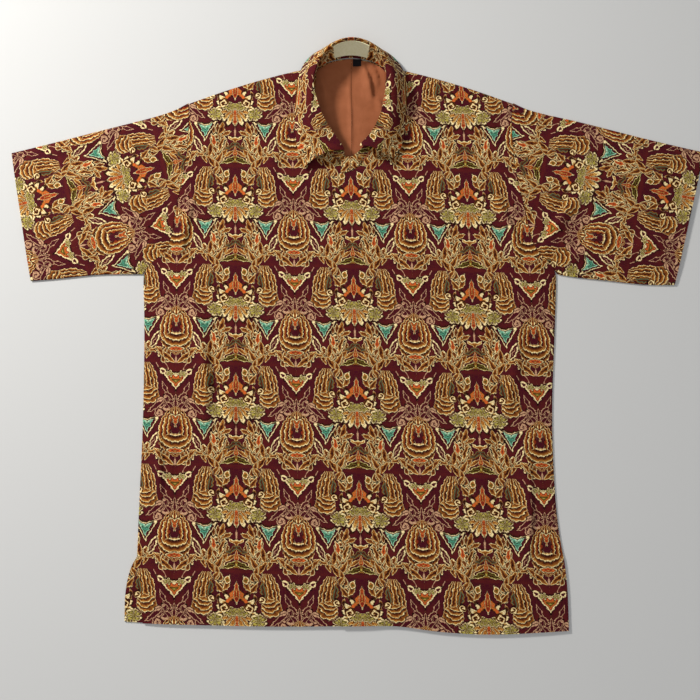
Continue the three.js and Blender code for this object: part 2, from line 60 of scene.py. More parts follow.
# %% The cutter's lines
MM = 0.001
PLACKET_OUT = 14              # the left front passes the centre line by this much
BACK_NECK_UP = 802            # the back neck above the hem line
CENTRE_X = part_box("front_left")[0].x + PLACKET_OUT * MM
HEM_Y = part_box("back")[1].y - BACK_NECK_UP * MM


def cutter(points):
    """Out and up, in millimetres, of points in the frame."""
    return (points[:, 0] - CENTRE_X) / MM, (points[:, 1] - HEM_Y) / MM


print("centre front at x =", round(CENTRE_X, 4), "and hem line at y =", round(HEM_Y, 4))

# %% [markdown]
# ## Camera, light and floor
# The shirt is seen from nearly straight above, from a little towards its hem, by a wide lens held
# about a metre away. Daylight comes from a window beyond its top left corner, so the collar throws
# a soft shadow to the right. A plain pale floor lies under it.

# %% Camera
CAMERA_HEIGHT = 1.0164
CAMERA_BACK = 0.0853          # how far it stands back from the point it looks at
LOOK_AT = (-0.0112, -0.0309)
LENS = 37.32
TILT = math.atan2(CAMERA_BACK, CAMERA_HEIGHT)

bpy.ops.object.camera_add(
    location=(LOOK_AT[0], LOOK_AT[1] - CAMERA_BACK, CAMERA_HEIGHT),
    rotation=(TILT, 0, 0),
)
camera = bpy.context.object
camera.data.lens = LENS
camera.data.sensor_width = 36
camera.data.clip_start = 0.01
bpy.context.scene.camera = camera
bpy.context.scene.view_settings.view_transform = "Standard"
print("camera tilts", round(math.degrees(TILT), 2), "degrees")

# %% Lights


def area_light(name, place, size, power, color):
    """A square soft light that faces the middle of the shirt."""
    bpy.ops.object.light_add(type="AREA", location=place)
    light = bpy.context.object
    light.name = name
    light.data.size = size
    light.data.energy = power
    light.data.color = color
    direction = -light.location
    light.rotation_euler = direction.to_track_quat("-Z", "Y").to_euler()
    return light


area_light("window", place=(-1.5, 1.2, 1.15), size=0.3, power=50, color=(1.0, 0.98, 0.94))
area_light("ceiling", place=(-0.2, -0.9, 2.6), size=2.4, power=16, color=(1.0, 0.98, 0.95))

ROOM_COLOR = (0.86, 0.89, 0.93, 1)
ROOM_STRENGTH = 0.34
world = bpy.data.worlds.new("room")
bpy.context.scene.world = world
world.use_nodes = True
world.node_tree.nodes["Background"].inputs["Color"].default_value = ROOM_COLOR
world.node_tree.nodes["Background"].inputs["Strength"].default_value = ROOM_STRENGTH
print("two soft lights and a pale room")

# %% Floor
FLOOR_WIDE = 8
FLOOR_LEVEL = -0.0004         # a hair below the cloth, so that the two never flicker
FLOOR_COLOR = (0.62, 0.617, 0.607, 1)

bpy.ops.object.select_all(action="DESELECT")
bpy.ops.mesh.primitive_plane_add(size=FLOOR_WIDE, location=(0, 0, FLOOR_LEVEL))
floor = bpy.context.object
floor.name = "floor"
bpy.ops.object.transform_apply(location=True, rotation=False, scale=False)
floor_finish = bpy.data.materials.new("pale_floor")
floor_finish.use_nodes = True
floor_shader = floor_finish.node_tree.nodes["Principled BSDF"]
floor_shader.inputs["Base Color"].default_value = FLOOR_COLOR
floor_shader.inputs["Roughness"].default_value = 0.9
floor.data.materials.append(floor_finish)
print("floor", floor.dimensions[:2])

# %% [markdown]
# ## Node helpers
# Every finish below is a small tree of nodes. Writing each node out takes many lines, so a few
# helpers do the routine part: they add a node and plug things into it, do arithmetic, make colour
# ramps and groups, and turn a screen colour into the linear values that Blender works with.

# %% Node helpers


def plug(tree, socket, value):
    """Joins a socket to another one, or sets it to a plain value."""
    if isinstance(value, bpy.types.NodeSocket):
        tree.links.new(value, socket)
    else:
        socket.default_value = value


def add(tree, kind, sockets=None, **settings):
    """A new node with its settings and its sockets filled in."""
    made = tree.nodes.new(kind)
    for name, value in settings.items():
        setattr(made, name, value)
    for key, value in (sockets or {}).items():
        plug(tree, made.inputs[key], value)
    return made


def sums(tree, operation, *values, clamp=False):
    """The result of one arithmetic node."""
    made = add(tree, "ShaderNodeMath", dict(enumerate(values)), operation=operation, use_clamp=clamp)
    return made.outputs[0]


def screen(red, green, blue):
    """A screen colour, 0 to 255 a channel, in linear values with full alpha."""
    shares = [channel / 255 for channel in (red, green, blue)]
    linear = [s / 12.92 if s <= 0.0404 else ((s + 0.055) / 1.055) ** 2.4 for s in shares]
    return (*linear, 1.0)


def ramp(tree, value, stops):
    """A colour ramp from (position, colour) or (position, colour, alpha) stops."""
    made = add(tree, "ShaderNodeValToRGB", {0: value})
    elements = made.color_ramp.elements
    while len(elements) < len(stops):
        elements.new(1.0)
    for element, stop in zip(elements, stops):
        element.position = stop[0]
        element.color = (*stop[1][:3], stop[2] if len(stop) > 2 else 1.0)
    return made


def group(name, inputs, outputs):
    """An empty node group with named inputs and outputs: (name, socket type) pairs."""
    tree = bpy.data.node_groups.new(name, "ShaderNodeTree")
    for label, kind in inputs:
        tree.interface.new_socket(label, in_out="INPUT", socket_type=kind)
    for label, kind in outputs:
        tree.interface.new_socket(label, in_out="OUTPUT", socket_type=kind)
    return tree, tree.nodes.new("NodeGroupInput"), tree.nodes.new("NodeGroupOutput")


print("helpers ready, the middle grey of a screen is", round(screen(128, 128, 128)[0], 3))

# %% [markdown]
# ## The print
# Batik is drawn in wax line by line, so its figures are built from nested outlines: cream at the
# rim, gold inside, a dark vein in the middle. Each figure here is a distance that is 0 at its
# middle and grows outwards, and an ink ramp turns that distance into the nested lines. The cloth
# repeats every 169 mm across and 141 mm down, and each repeat is mirrored, so the figures are only
# placed in half of it. Columns stand on two axes: one carries a small orange tumpal over a lotus,
# the other a feathered bud under a horned shield, and wings and teal shields stand between them.

# %% Dyes and inks
MAROON = screen(86, 22, 27)
PLUM = screen(70, 14, 28)
DARK = screen(26, 6, 5)
BROWN = screen(88, 38, 16)
TAN = screen(130, 74, 28)
GOLD = screen(172, 108, 42)
PALE_GOLD = screen(208, 154, 76)
CREAM = screen(255, 230, 168)
ORANGE = screen(210, 98, 42)
RUST = screen(138, 42, 24)
TEAL = screen(78, 156, 126)
MINT = screen(176, 218, 180)
OLIVE = screen(100, 88, 32)
LIME = screen(182, 166, 76)
SAGE = screen(98, 104, 74)
ROSE = screen(204, 158, 122)

# An ink runs from a figure's middle (0) to its rim (0.84), and its dark surround fades out at 1.
RIM, SURROUND, END = 0.84, 0.95, 1.0


def ink(*bands):
    """Stops for one ink: (where the band starts, its colour), then the dark surround."""
    stops = []
    edges = [start for start, _ in bands[1:]] + [RIM]
    for (start, color), stop in zip(bands, edges):
        stops.append((start + (0.015 if start else 0), color, 1))
        stops.append((max(stop - 0.015, start), color, 1))
    return stops + [(RIM + 0.02, DARK, 1), (SURROUND, DARK, 0.9), (END, DARK, 0)]


INKS = {
    "leaf": ink((0, DARK), (0.14, BROWN), (0.3, TAN), (0.48, GOLD), (0.64, PALE_GOLD), (0.73, CREAM)),
    "gold_leaf": ink((0, BROWN), (0.2, TAN), (0.42, GOLD), (0.62, PALE_GOLD), (0.72, CREAM)),
    "orange_leaf": ink((0, RUST), (0.2, ORANGE), (0.5, GOLD), (0.64, CREAM)),
    "hollow": ink((0, ROSE), (0.14, PLUM), (0.5, BROWN), (0.58, CREAM)),
    "rib": ink((0, DARK), (0.1, BROWN), (0.26, TAN), (0.42, GOLD), (0.6, PALE_GOLD), (0.7, CREAM)),
    "bud_rib": ink((0, DARK), (0.1, RUST), (0.24, TAN), (0.42, GOLD), (0.6, PALE_GOLD), (0.72, CREAM)),
    "lotus": ink((0, BROWN), (0.18, TAN), (0.36, GOLD), (0.56, PALE_GOLD), (0.7, CREAM)),
    "orange": ink((0, PALE_GOLD), (0.16, ORANGE), (0.66, GOLD)),
    "ember": ink((0, PALE_GOLD), (0.14, RUST), (0.4, ORANGE), (0.62, TAN), (0.74, CREAM)),
    "teal": ink((0, DARK), (0.14, MINT), (0.24, DARK), (0.32, TEAL), (0.48, DARK), (0.56, TEAL),
                (0.72, MINT)),
    "frame": ink((0, RUST), (0.3, PLUM), (0.7, CREAM)),
    "green": ink((0, DARK), (0.16, OLIVE), (0.34, LIME), (0.54, OLIVE), (0.72, CREAM)),
    "sage": ink((0, BROWN), (0.24, DARK), (0.36, SAGE), (0.66, DARK), (0.72, GOLD)),
    "mound": ink((0, LIME), (0.5, OLIVE), (0.7, GOLD)),
    "crescent": ink((0, OLIVE), (0.2, DARK), (0.5, OLIVE), (0.66, LIME), (0.76, CREAM)),
    "shield": ink((0, PALE_GOLD), (0.1, DARK), (0.14, LIME), (0.26, OLIVE), (0.34, DARK), (0.38, GOLD),
                  (0.48, ORANGE), (0.58, RUST), (0.66, CREAM)),
    "head": ink((0, OLIVE), (0.3, GOLD), (0.64, CREAM)),
    "lace": ink((0, PLUM), (0.6, ROSE)),
    "loop": [(0, PLUM, 0), (0.64, PLUM, 0), (0.7, ROSE, 1), (0.84, ROSE, 1), (0.9, PLUM, 0)],
    "ring": [(0, PLUM, 1), (0.5, PLUM, 1), (0.58, CREAM, 1), (0.84, CREAM, 1), (0.9, PLUM, 0)],
    "stalk": [(0, ROSE, 1), (0.5, ROSE, 1), (0.7, PLUM, 1), (1, PLUM, 0)],
    "spiral": [(0, ROSE, 1), (0.26, ROSE, 1), (0.34, PLUM, 1), (0.9, PLUM, 1), (1, PLUM, 0)],
    "curl": [(0, CREAM, 1), (0.14, CREAM, 1), (0.2, GOLD, 1), (0.36, DARK, 1), (0.9, DARK, 1),
             (1, DARK, 0)],
    "night": [(0, PLUM, 1), (0.86, PLUM, 1), (0.97, PLUM, 0)],
}
print(len(INKS), "inks")

# %% [markdown]
# Each kind of figure is a few arithmetic nodes after a Mapping node, which moves the figure to its
# place, turns it and scales it to its half width and half height. An oval is the plain length of
# what comes out, an onion has ribs from end to end, scales are stacked, a leaf may bend, a
# shield is a nested V, and plumes fan out round a point like the petals of a lotus.

# %% Place of a figure


def placed(tree, field, at, size, turn=0):
    """The local coordinates of a figure: RIM lies at its half width and its half height."""
    return add(tree, "ShaderNodeMapping", {
        "Vector": field,
        "Location": (at[0], at[1], 0),
        "Rotation": (0, 0, math.radians(turn)),
        "Scale": (size[0] / RIM, size[1] / RIM, 1),
    }, vector_type="TEXTURE").outputs[0]


def parts_of(tree, vector):
    split = add(tree, "ShaderNodeSeparateXYZ", {0: vector})
    return split.outputs[0], split.outputs[1]


print("a figure fills", RIM, "of its own space, and the rest is its dark surround")

# %% Ovals, onions and scales
BODY = 0.74                   # ribs and scales end here, and their outer rim begins
DROP = 9.0                    # how fast a value climbs outside the figure


def oval(tree, local):
    """0 at the middle, 1 on an ellipse."""
    return add(tree, "ShaderNodeVectorMath", {0: local}, operation="LENGTH").outputs["Value"]


def onion(tree, local, count=5):
    """Ribs that run from end to end of an oval, like the skins of an onion."""
    x, y = parts_of(tree, local)
    room = sums(tree, "SUBTRACT", 1.0, sums(tree, "MULTIPLY", y, y))
    girth = sums(tree, "POWER", sums(tree, "MAXIMUM", room, 0.0001), 0.75)
    share = sums(tree, "ABSOLUTE", sums(tree, "DIVIDE", x, girth))
    rib = sums(tree, "FRACT", sums(tree, "MULTIPLY", share, count / 2 / RIM))
    outside = sums(tree, "MULTIPLY", sums(tree, "SUBTRACT", share, BODY), DROP)
    return sums(tree, "MAXIMUM", rib, outside)


def scales(tree, local, count=8, sag=0.8):
    """Feathers stacked inside an oval: each is a sagging band with its bright rim below."""
    x, y = parts_of(tree, local)
    fall = sums(tree, "MULTIPLY", y, -1.0)
    level = sums(tree, "MULTIPLY_ADD", sums(tree, "MULTIPLY", x, x), sag, fall)
    band = sums(tree, "FRACT", sums(tree, "MULTIPLY", level, count / 2 / RIM))
    outside = sums(tree, "MULTIPLY", sums(tree, "SUBTRACT", oval(tree, local), BODY), DROP)
    return sums(tree, "MAXIMUM", band, outside)


print("round figures ready")

# %% Leaves, shields and triangles


def leaf(tree, local, bend=0.0):
    """A leaf along x with pointed ends, bent sideways like a horn."""
    x, y = parts_of(tree, local)
    square = sums(tree, "MULTIPLY", x, x)
    side = sums(tree, "MULTIPLY_ADD", square, bend, y) if bend else y
    return sums(tree, "ADD", square, sums(tree, "ABSOLUTE", side))


def shield(tree, local, dip=0.35):
    """Nested V shapes with a point at the bottom and a dipped top."""
    x, y = parts_of(tree, local)
    wide = sums(tree, "ABSOLUTE", x)
    point = sums(tree, "MULTIPLY_ADD", wide, 2.0, sums(tree, "MULTIPLY", y, -1.0))
    crown = sums(tree, "MULTIPLY_ADD", wide, -dip, sums(tree, "ADD", y, dip))
    return sums(tree, "MAXIMUM", point, crown)


def triangle(tree, local):
    """A tumpal: a tall triangle with a flat base."""
    x, y = parts_of(tree, local)
    flank = sums(tree, "MULTIPLY_ADD", sums(tree, "ABSOLUTE", x), 2.0, y)
    return sums(tree, "MAXIMUM", flank, sums(tree, "MULTIPLY", y, -1.0))


print("pointed figures ready")

# %% Plumes and coils


def plumes(tree, local, count=7, swirl=0.0, scallop=0.3):
    """Petals round a point: each has its own rim, and their tips scallop the outer edge."""
    x, y = parts_of(tree, local)
    reach = oval(tree, local)
    angle = sums(tree, "DIVIDE", sums(tree, "ARCTAN2", x, y), 2 * math.pi / count)
    if swirl:
        angle = sums(tree, "MULTIPLY_ADD", reach, swirl, angle)
    across = sums(tree, "PINGPONG", angle, 0.5)
    tip = sums(tree, "MULTIPLY_ADD", sums(tree, "MULTIPLY", across, across), 4 * scallop, reach)
    return sums(tree, "MAXIMUM", tip, sums(tree, "MULTIPLY", across, 2.1))


def coil(tree, local, turns=2.0):
    """A spiral line inside a disc: low values lie on the line."""
    x, y = parts_of(tree, local)
    reach = oval(tree, local)
    angle = sums(tree, "DIVIDE", sums(tree, "ARCTAN2", y, x), 2 * math.pi)
    line = sums(tree, "PINGPONG", sums(tree, "MULTIPLY_ADD", reach, turns, angle), 0.5)
    outside = sums(tree, "MULTIPLY", sums(tree, "SUBTRACT", reach, RIM), DROP)
    return sums(tree, "MAXIMUM", line, outside)


KINDS = {"oval": oval, "onion": onion, "scales": scales, "leaf": leaf, "shield": shield,
         "triangle": triangle, "plumes": plumes, "coil": coil}
print("kinds of figure:", ", ".join(KINDS))

# %% [markdown]
# The figures are listed from the ground up, because later ones cover earlier ones. Places and
# sizes are in millimetres: across from the tumpal's axis, and up from the tumpal's foot. The bud's
# axis is half a repeat away.

# %% Foliage of half a repeat
REPEAT_WIDE, REPEAT_TALL = 169.0, 141.0
LOWEST = -100.0               # the repeat runs from here up to 41 mm above the tumpal's foot
BUD = REPEAT_WIDE / 2


def figure(kind, ink_name, at, size, turn=0, **shape):
    """One row of the list of figures."""
    return {"kind": kind, "ink": ink_name, "at": at, "size": size, "turn": turn, "shape": shape}


# Where the thicket of small leaves grows: (middle, half size) of ovals.
THICKETS = [((27, -69), (15, 29)), ((26, 26), (12, 14)), ((45, -80), (10, 12)), ((68, -88), (13, 7))]

FOLIAGE = [
    figure("leaf", "leaf", (20, -45), (10, 3.4), 112, bend=0.4),
    figure("leaf", "gold_leaf", (13, -51), (8, 2.8), 152, bend=-0.3),
    figure("leaf", "orange_leaf", (31, -62), (10, 3.4), 76, bend=0.4),
    figure("leaf", "leaf", (21, -67), (11, 3.6), 112, bend=-0.4),
    figure("leaf", "leaf", (36, -76), (11, 3.4), 100, bend=0.4),
    figure("leaf", "gold_leaf", (17, -80), (8, 3.2), 148, bend=0.4),
    figure("leaf", "leaf", (24, -88), (11, 3.6), 118, bend=-0.4),
    figure("leaf", "leaf", (35, -92), (11, 3.4), 58, bend=0.4),
    figure("leaf", "leaf", (26, -101), (10, 3.2), 84, bend=0.3),
    figure("leaf", "leaf", (26, 40), (10, 3.2), 84, bend=0.3),
    figure("leaf", "hollow", (54, -68), (14, 4.6), 62, bend=0.2),
    figure("leaf", "leaf", (46, -86), (9, 3), 70, bend=-0.3),
    figure("leaf", "leaf", (56, -82), (11, 3.2), 14, bend=-0.5),
    figure("leaf", "leaf", (70, -90), (16, 4.2), -34, bend=0.3),
    figure("leaf", "gold_leaf", (62, -84), (9, 2.8), -50, bend=0.3),
    figure("leaf", "leaf", (32, 32), (13, 3.8), 132, bend=0.4),
    figure("leaf", "leaf", (23, 20), (10, 3.4), 52, bend=-0.4),
    figure("leaf", "gold_leaf", (38, 38), (9, 3), 40, bend=0.3),
    figure("leaf", "gold_leaf", (25, 3), (10, 2.4), 90),
]
print(len(FOLIAGE), "single leaves and", len(THICKETS), "patches of thicket")

# %% The tumpal's axis
TUMPAL_AXIS = [
    figure("plumes", "lotus", (0, -12), (29, 28), 180, count=17, scallop=0.26),
    figure("triangle", "night", (0, 14), (17, 24)),
    figure("leaf", "orange", (7.5, 7), (10, 2.8), -36, bend=0.3),
    figure("leaf", "orange", (5, 14), (8, 2.4), -50, bend=0.3),
    figure("leaf", "ember", (0, 14), (15, 3.4), 90),
    figure("leaf", "gold_leaf", (13, 26), (11, 4.4), 112, bend=0.3),
    figure("oval", "head", (12, 31), (4.6, 4.8)),
    figure("plumes", "green", (7, -11), (13, 6.5), 0, count=9),
    figure("coil", "curl", (16, -6), (6.8, 6.2), turns=1.6),
    figure("plumes", "green", (29, -23), (13, 10), 20, count=7, swirl=0.5),
    figure("leaf", "ember", (0, -27), (12, 3.2), 90),
    figure("leaf", "stalk", (0, -49), (9, 2.2), 90),
    figure("shield", "gold_leaf", (0, -60), (12, 5)),
    figure("leaf", "sage", (6, -70), (10, 3.0), -34, bend=-0.4),
    figure("leaf", "gold_leaf", (7, -80), (10, 2.8), -30, bend=-0.4),
    figure("leaf", "ember", (0, -78), (8, 2.6), 90),
    figure("leaf", "crescent", (9, -91), (12, 3.6), -22, bend=-0.4),
    figure("shield", "mound", (0, -89), (4, -6)),
]
print(len(TUMPAL_AXIS), "figures on the tumpal's axis")

# %% Wings and teal shields between the axes
BETWEEN = [
    figure("oval", "night", (46, 12), (18, 30), -2),
    figure("onion", "rib", (45.5, 15), (13.5, 26), 10, count=6),
    figure("scales", "rib", (47, -5), (14.5, 12.5), 12, count=4, sag=0.9),
    figure("leaf", "sage", (36, 18), (12, 4.6), 96, bend=-0.3),
    figure("coil", "curl", (34, 6), (5.4, 5.2), turns=1.5),
    figure("shield", "frame", (44, -48), (18.5, 15), dip=0.3),
    figure("shield", "teal", (44, -46), (11, 9.5), dip=0.45),
    figure("leaf", "loop", (65, 37), (10, 5.6), -30),
]
print(len(BETWEEN), "figures between the axes")

# %% The bud's axis
BUD_AXIS = [
    figure("leaf", "lace", (70, 4), (11, 3), 118, bend=0.2),
    figure("plumes", "lace", (72, -15), (15, 11), 0, count=6),
    figure("leaf", "lace", (57, -20), (15, 4), 38, bend=-0.3),
    figure("leaf", "lace", (76, -5), (8, 3), -40, bend=0.4),
    figure("coil", "spiral", (61, -29), (6.4, 6), turns=1.7),
    figure("leaf", "lace", (BUD, -14), (12, 3), 90),
    figure("leaf", "lace", (78, -20), (9, 3), 130),
    figure("shield", "shield", (BUD, 19), (25, 15), dip=0.45),
    figure("oval", "ring", (66, 29), (4.2, 4.4)),
    figure("plumes", "green", (76, 26), (5.6, 4.8), -20, count=5),
    figure("leaf", "stalk", (BUD, -96), (10, 2), 90),
    figure("onion", "bud_rib", (BUD, -54), (24.5, 29), count=8),
    figure("leaf", "night", (BUD, -50), (19, 5), 90),
    figure("shield", "ember", (BUD, -38), (7, 11), dip=0.5),
    figure("scales", "rib", (BUD, -70), (21, 13), 0, count=3, sag=0.9),
    figure("oval", "ember", (BUD, -80), (12, 3.4)),
]
FIGURES = FOLIAGE + TUMPAL_AXIS + BETWEEN + BUD_AXIS
print(len(FIGURES), "figures in half a repeat")

# %% [markdown]
# The group reads the cloth's own map, counted in repeats, so the print follows the grain of each
# piece. A little noise bends every line, as a hand-held wax pen does. Small leaves fill the
# thickets: they are the cells of a Voronoi texture, and a cell is printed only when its middle lies
# in a thicket. Last, fine cracks break up the gold.

# %% The small leaves
LEAFLET = 0.17                # leaflets to a millimetre
LEAFLET_TURN = (0, 0, math.radians(24))
LEAFLET_STRETCH = (1.0, 0.5, 1)


def mixed(tree, factor, first, second):
    """The second colour laid over the first one."""
    # a Mix node takes its two colours at inputs 6 and 7, and gives the mixed one at output 2
    made = tree.nodes.new("ShaderNodeMix")
    made.data_type = "RGBA"
    plug(tree, made.inputs[0], factor)
    plug(tree, made.inputs[6], first)
    plug(tree, made.inputs[7], second)
    return made.outputs[2]


def thicket(tree, field, color):
    """The small leaves, laid over a colour."""
    turned = add(tree, "ShaderNodeMapping", {
        "Vector": field, "Rotation": LEAFLET_TURN, "Scale": LEAFLET_STRETCH,
    }).outputs[0]
    cells = {"Vector": turned, "Scale": LEAFLET, "Randomness": 0.9}
    near = add(tree, "ShaderNodeTexVoronoi", cells, feature="F1", voronoi_dimensions="2D")
    edge = add(tree, "ShaderNodeTexVoronoi", cells, feature="DISTANCE_TO_EDGE", voronoi_dimensions="2D")
    middles = add(tree, "ShaderNodeMapping", {
        "Vector": near.outputs["Position"], "Rotation": LEAFLET_TURN, "Scale": LEAFLET_STRETCH,
    }, vector_type="TEXTURE").outputs[0]
    inside = None
    for middle, half in THICKETS:
        reach = oval(tree, placed(tree, middles, middle, half))
        inside = reach if inside is None else sums(tree, "MINIMUM", inside, reach)
    grown = sums(tree, "LESS_THAN", inside, RIM)
    tones = ramp(tree, edge.outputs["Distance"], [
        (0.0, DARK), (0.07, DARK), (0.09, CREAM), (0.15, CREAM), (0.18, GOLD), (0.27, TAN), (0.36, BROWN)])
    warm = ramp(tree, near.outputs["Distance"], [(0.0, RUST, 0.9), (0.16, OLIVE, 0.0)])
    leaflets = mixed(tree, warm.outputs[1], tones.outputs[0], warm.outputs[0])
    return mixed(tree, grown, color, leaflets)


print("a leaflet is about", round(1 / LEAFLET, 1), "mm wide")

# %% The print as a node group
WOBBLE = 4.6                  # how far the lines stray, in millimetres between the extremes
WOBBLE_SCALE = 0.2            # waves to a millimetre
CALM = 18.0                   # how fast the wobble grows from the joint of two repeats
GROUND_SCALE = 0.05
CRACK_SCALE = 0.3             # cracks to a millimetre


def build_print():
    """Folds the map into half a repeat and lays every figure over the maroon ground."""
    tree, entry, result = group("batik_print", [("Cloth", "NodeSocketVector")],
                                [("Color", "NodeSocketColor")])
    across, down = parts_of(tree, entry.outputs["Cloth"])
    folded = sums(tree, "MULTIPLY", sums(tree, "PINGPONG", across, 0.5), REPEAT_WIDE)
    share = sums(tree, "FRACT", sums(tree, "SUBTRACT", down, LOWEST / REPEAT_TALL))
    height = sums(tree, "MULTIPLY_ADD", share, REPEAT_TALL, LOWEST)
    flat = add(tree, "ShaderNodeCombineXYZ", {0: folded, 1: height}).outputs[0]
    wobble = add(tree, "ShaderNodeTexNoise", {"Vector": flat, "Scale": WOBBLE_SCALE, "Detail": 1.0},
                 noise_dimensions="2D").outputs["Color"]
    centred = add(tree, "ShaderNodeVectorMath", {0: wobble, 1: (0.5, 0.5, 0.5)},
                  operation="SUBTRACT").outputs[0]
    # the wobble dies out where one repeat meets the next, so that no line breaks there
    calm = sums(tree, "MULTIPLY", sums(tree, "PINGPONG", share, 0.5), CALM, clamp=True)
    strength = sums(tree, "MULTIPLY", calm, WOBBLE)
    push = add(tree, "ShaderNodeVectorMath", {0: centred, "Scale": strength}, operation="SCALE").outputs[0]
    bent = add(tree, "ShaderNodeVectorMath", {0: flat, 1: push}, operation="ADD").outputs[0]
    field = add(tree, "ShaderNodeVectorMath", {0: bent, 1: (1.0, 1.0, 0.0)},
                operation="MULTIPLY").outputs[0]

    ground = add(tree, "ShaderNodeTexNoise", {"Vector": field, "Scale": GROUND_SCALE, "Detail": 2.0},
                 noise_dimensions="2D").outputs[0]
    color = ramp(tree, ground, [(0.35, PLUM), (0.6, MAROON)]).outputs[0]
    color = thicket(tree, field, color)
    for row in FIGURES:
        local = placed(tree, field, row["at"], row["size"], row["turn"])
        value = KINDS[row["kind"]](tree, local, **row["shape"])
        colored = ramp(tree, value, INKS[row["ink"]])
        color = mixed(tree, colored.outputs[1], color, colored.outputs[0])

    cracks = add(tree, "ShaderNodeTexVoronoi", {"Vector": field, "Scale": CRACK_SCALE},
                 feature="DISTANCE_TO_EDGE", voronoi_dimensions="2D").outputs["Distance"]
    gaps = ramp(tree, cracks, [(0.0, BROWN, 0.8), (0.04, BROWN, 0.6), (0.1, BROWN, 0.0)])
    plug(tree, result.inputs["Color"], mixed(tree, gaps.outputs[1], color, gaps.outputs[0]))
    return tree


print_group = build_print()
print("print group has", len(print_group.nodes), "nodes")

# %% [markdown]
# ## Weave and crumple
# Close up, the cotton is a plain weave, and from a step away its surface is never quite flat. Both
# are heights that bend the light, not shape, and every cloth here shares them with its own values.

# %% The weave as a node group


def build_weave():
    """A height that rises where a warp thread crosses a weft thread."""
    tree, entry, result = group(
        "plain_weave",
        [("Cloth", "NodeSocketVector"), ("Thread", "NodeSocketFloat")],
        [("Height", "NodeSocketFloat")],
    )
    across, down = parts_of(tree, entry.outputs["Cloth"])
    turns = sums(tree, "DIVIDE", math.pi, entry.outputs["Thread"])
    wide = sums(tree, "MULTIPLY", across, REPEAT_WIDE)
    tall = sums(tree, "MULTIPLY", down, REPEAT_TALL)
    warp = sums(tree, "SINE", sums(tree, "MULTIPLY", wide, turns))
    weft = sums(tree, "SINE", sums(tree, "MULTIPLY", tall, turns))
    plug(tree, result.inputs["Height"], sums(tree, "MULTIPLY", warp, weft))
    return tree


weave_group = build_weave()
print("weave group has", len(weave_group.nodes), "nodes")

# %% [markdown]
# ## The fabrics
# The shirt needs four: the printed cotton, the terracotta lining, the satin of the label and the
# black tape of the size tab. Each is a Principled shader with its colour and its bumps plugged in.

# %% A cloth material
SHEEN_ROUGHNESS = 0.45
SHINE = 0.06                  # cotton and its lining hardly mirror anything
WEAVE_DEPTH = 0.00006
WEAVE_STRENGTH = 0.5


def cloth_material(name, roughness, sheen, thread, crumple, crumple_scale):
    """A fabric with weave and crumple bumps. Its colour is plugged in afterwards."""
    material = bpy.data.materials.new(name)
    material.use_nodes = True
    tree = material.node_tree
    shader = tree.nodes["Principled BSDF"]
    shader.inputs["Roughness"].default_value = roughness
    shader.inputs["Sheen Weight"].default_value = sheen
    shader.inputs["Sheen Roughness"].default_value = SHEEN_ROUGHNESS
    shader.inputs["Specular IOR Level"].default_value = SHINE
    cloth = add(tree, "ShaderNodeUVMap", uv_map="cloth").outputs[0]
    weave = add(tree, "ShaderNodeGroup", node_tree=weave_group)
    plug(tree, weave.inputs["Cloth"], cloth)
    plug(tree, weave.inputs["Thread"], thread)
    place = add(tree, "ShaderNodeTexCoord").outputs["Object"]
    soft = add(tree, "ShaderNodeTexNoise", {"Vector": place, "Scale": crumple_scale, "Detail": 3.0,
                                            "Roughness": 0.45, "Distortion": 0.4}).outputs[0]
    big = add(tree, "ShaderNodeBump", {"Height": soft, "Distance": crumple, "Strength": 1.0}).outputs[0]
    fine = add(tree, "ShaderNodeBump", {"Height": weave.outputs[0], "Distance": WEAVE_DEPTH,
                                        "Strength": WEAVE_STRENGTH, "Normal": big}).outputs[0]
    plug(tree, shader.inputs["Normal"], fine)
    return material, tree, shader, cloth


print("a fabric is made from its roughness, sheen, thread and crumple")


# %% Printed cotton
cotton, tree, shader, cloth = cloth_material(
    "printed_cotton", roughness=0.86, sheen=0.01, thread=0.42, crumple=0.0022, crumple_scale=24.0)
printed = add(tree, "ShaderNodeGroup", node_tree=print_group)
plug(tree, printed.inputs["Cloth"], cloth)
plug(tree, shader.inputs["Base Color"], printed.outputs["Color"])
print("printed cotton")

# %% Terracotta lining
lining, tree, shader, cloth = cloth_material(
    "lining", roughness=0.62, sheen=0.12, thread=0.3, crumple=0.0014, crumple_scale=38.0)
tone = add(tree, "ShaderNodeTexNoise", {"Vector": cloth, "Scale": 9.0, "Detail": 3.0}).outputs[0]
shades = ramp(tree, tone, [(0.3, screen(148, 86, 54)), (0.7, screen(160, 95, 62))])
plug(tree, shader.inputs["Base Color"], shades.outputs[0])
print("lining")

# %% Label satin
satin, tree, shader, cloth = cloth_material(
    "label_satin", roughness=0.5, sheen=0.15, thread=0.24, crumple=0.0004, crumple_scale=60.0)
ribs = add(tree, "ShaderNodeTexNoise", {"Vector": cloth, "Scale": 60.0, "Detail": 2.0}).outputs[0]
creams = ramp(tree, ribs, [(0.3, screen(244, 242, 196)), (0.7, screen(252, 250, 214))])
plug(tree, shader.inputs["Base Color"], creams.outputs[0])
print("label satin")

# %% Black tape
tape, tree, shader, cloth = cloth_material(
    "black_tape", roughness=0.75, sheen=0.1, thread=0.4, crumple=0.0003, crumple_scale=80.0)
grain = add(tree, "ShaderNodeTexNoise", {"Vector": cloth, "Scale": 80.0, "Detail": 2.0}).outputs[0]
blacks = ramp(tree, grain, [(0.3, screen(18, 15, 18)), (0.7, screen(34, 30, 34))])
plug(tree, shader.inputs["Base Color"], blacks.outputs[0])
print("black tape")

# %% [markdown]
# ## From a plain wall to cloth
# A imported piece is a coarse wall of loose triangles. Its copy is welded, its triangles are joined
# back into squares, and the sharp edges of the wall are marked as creases. A Subdivision Surface
# then rounds the outline and the surface but keeps the cut edges crisp. This way every piece stays
# exactly where the model holds it.

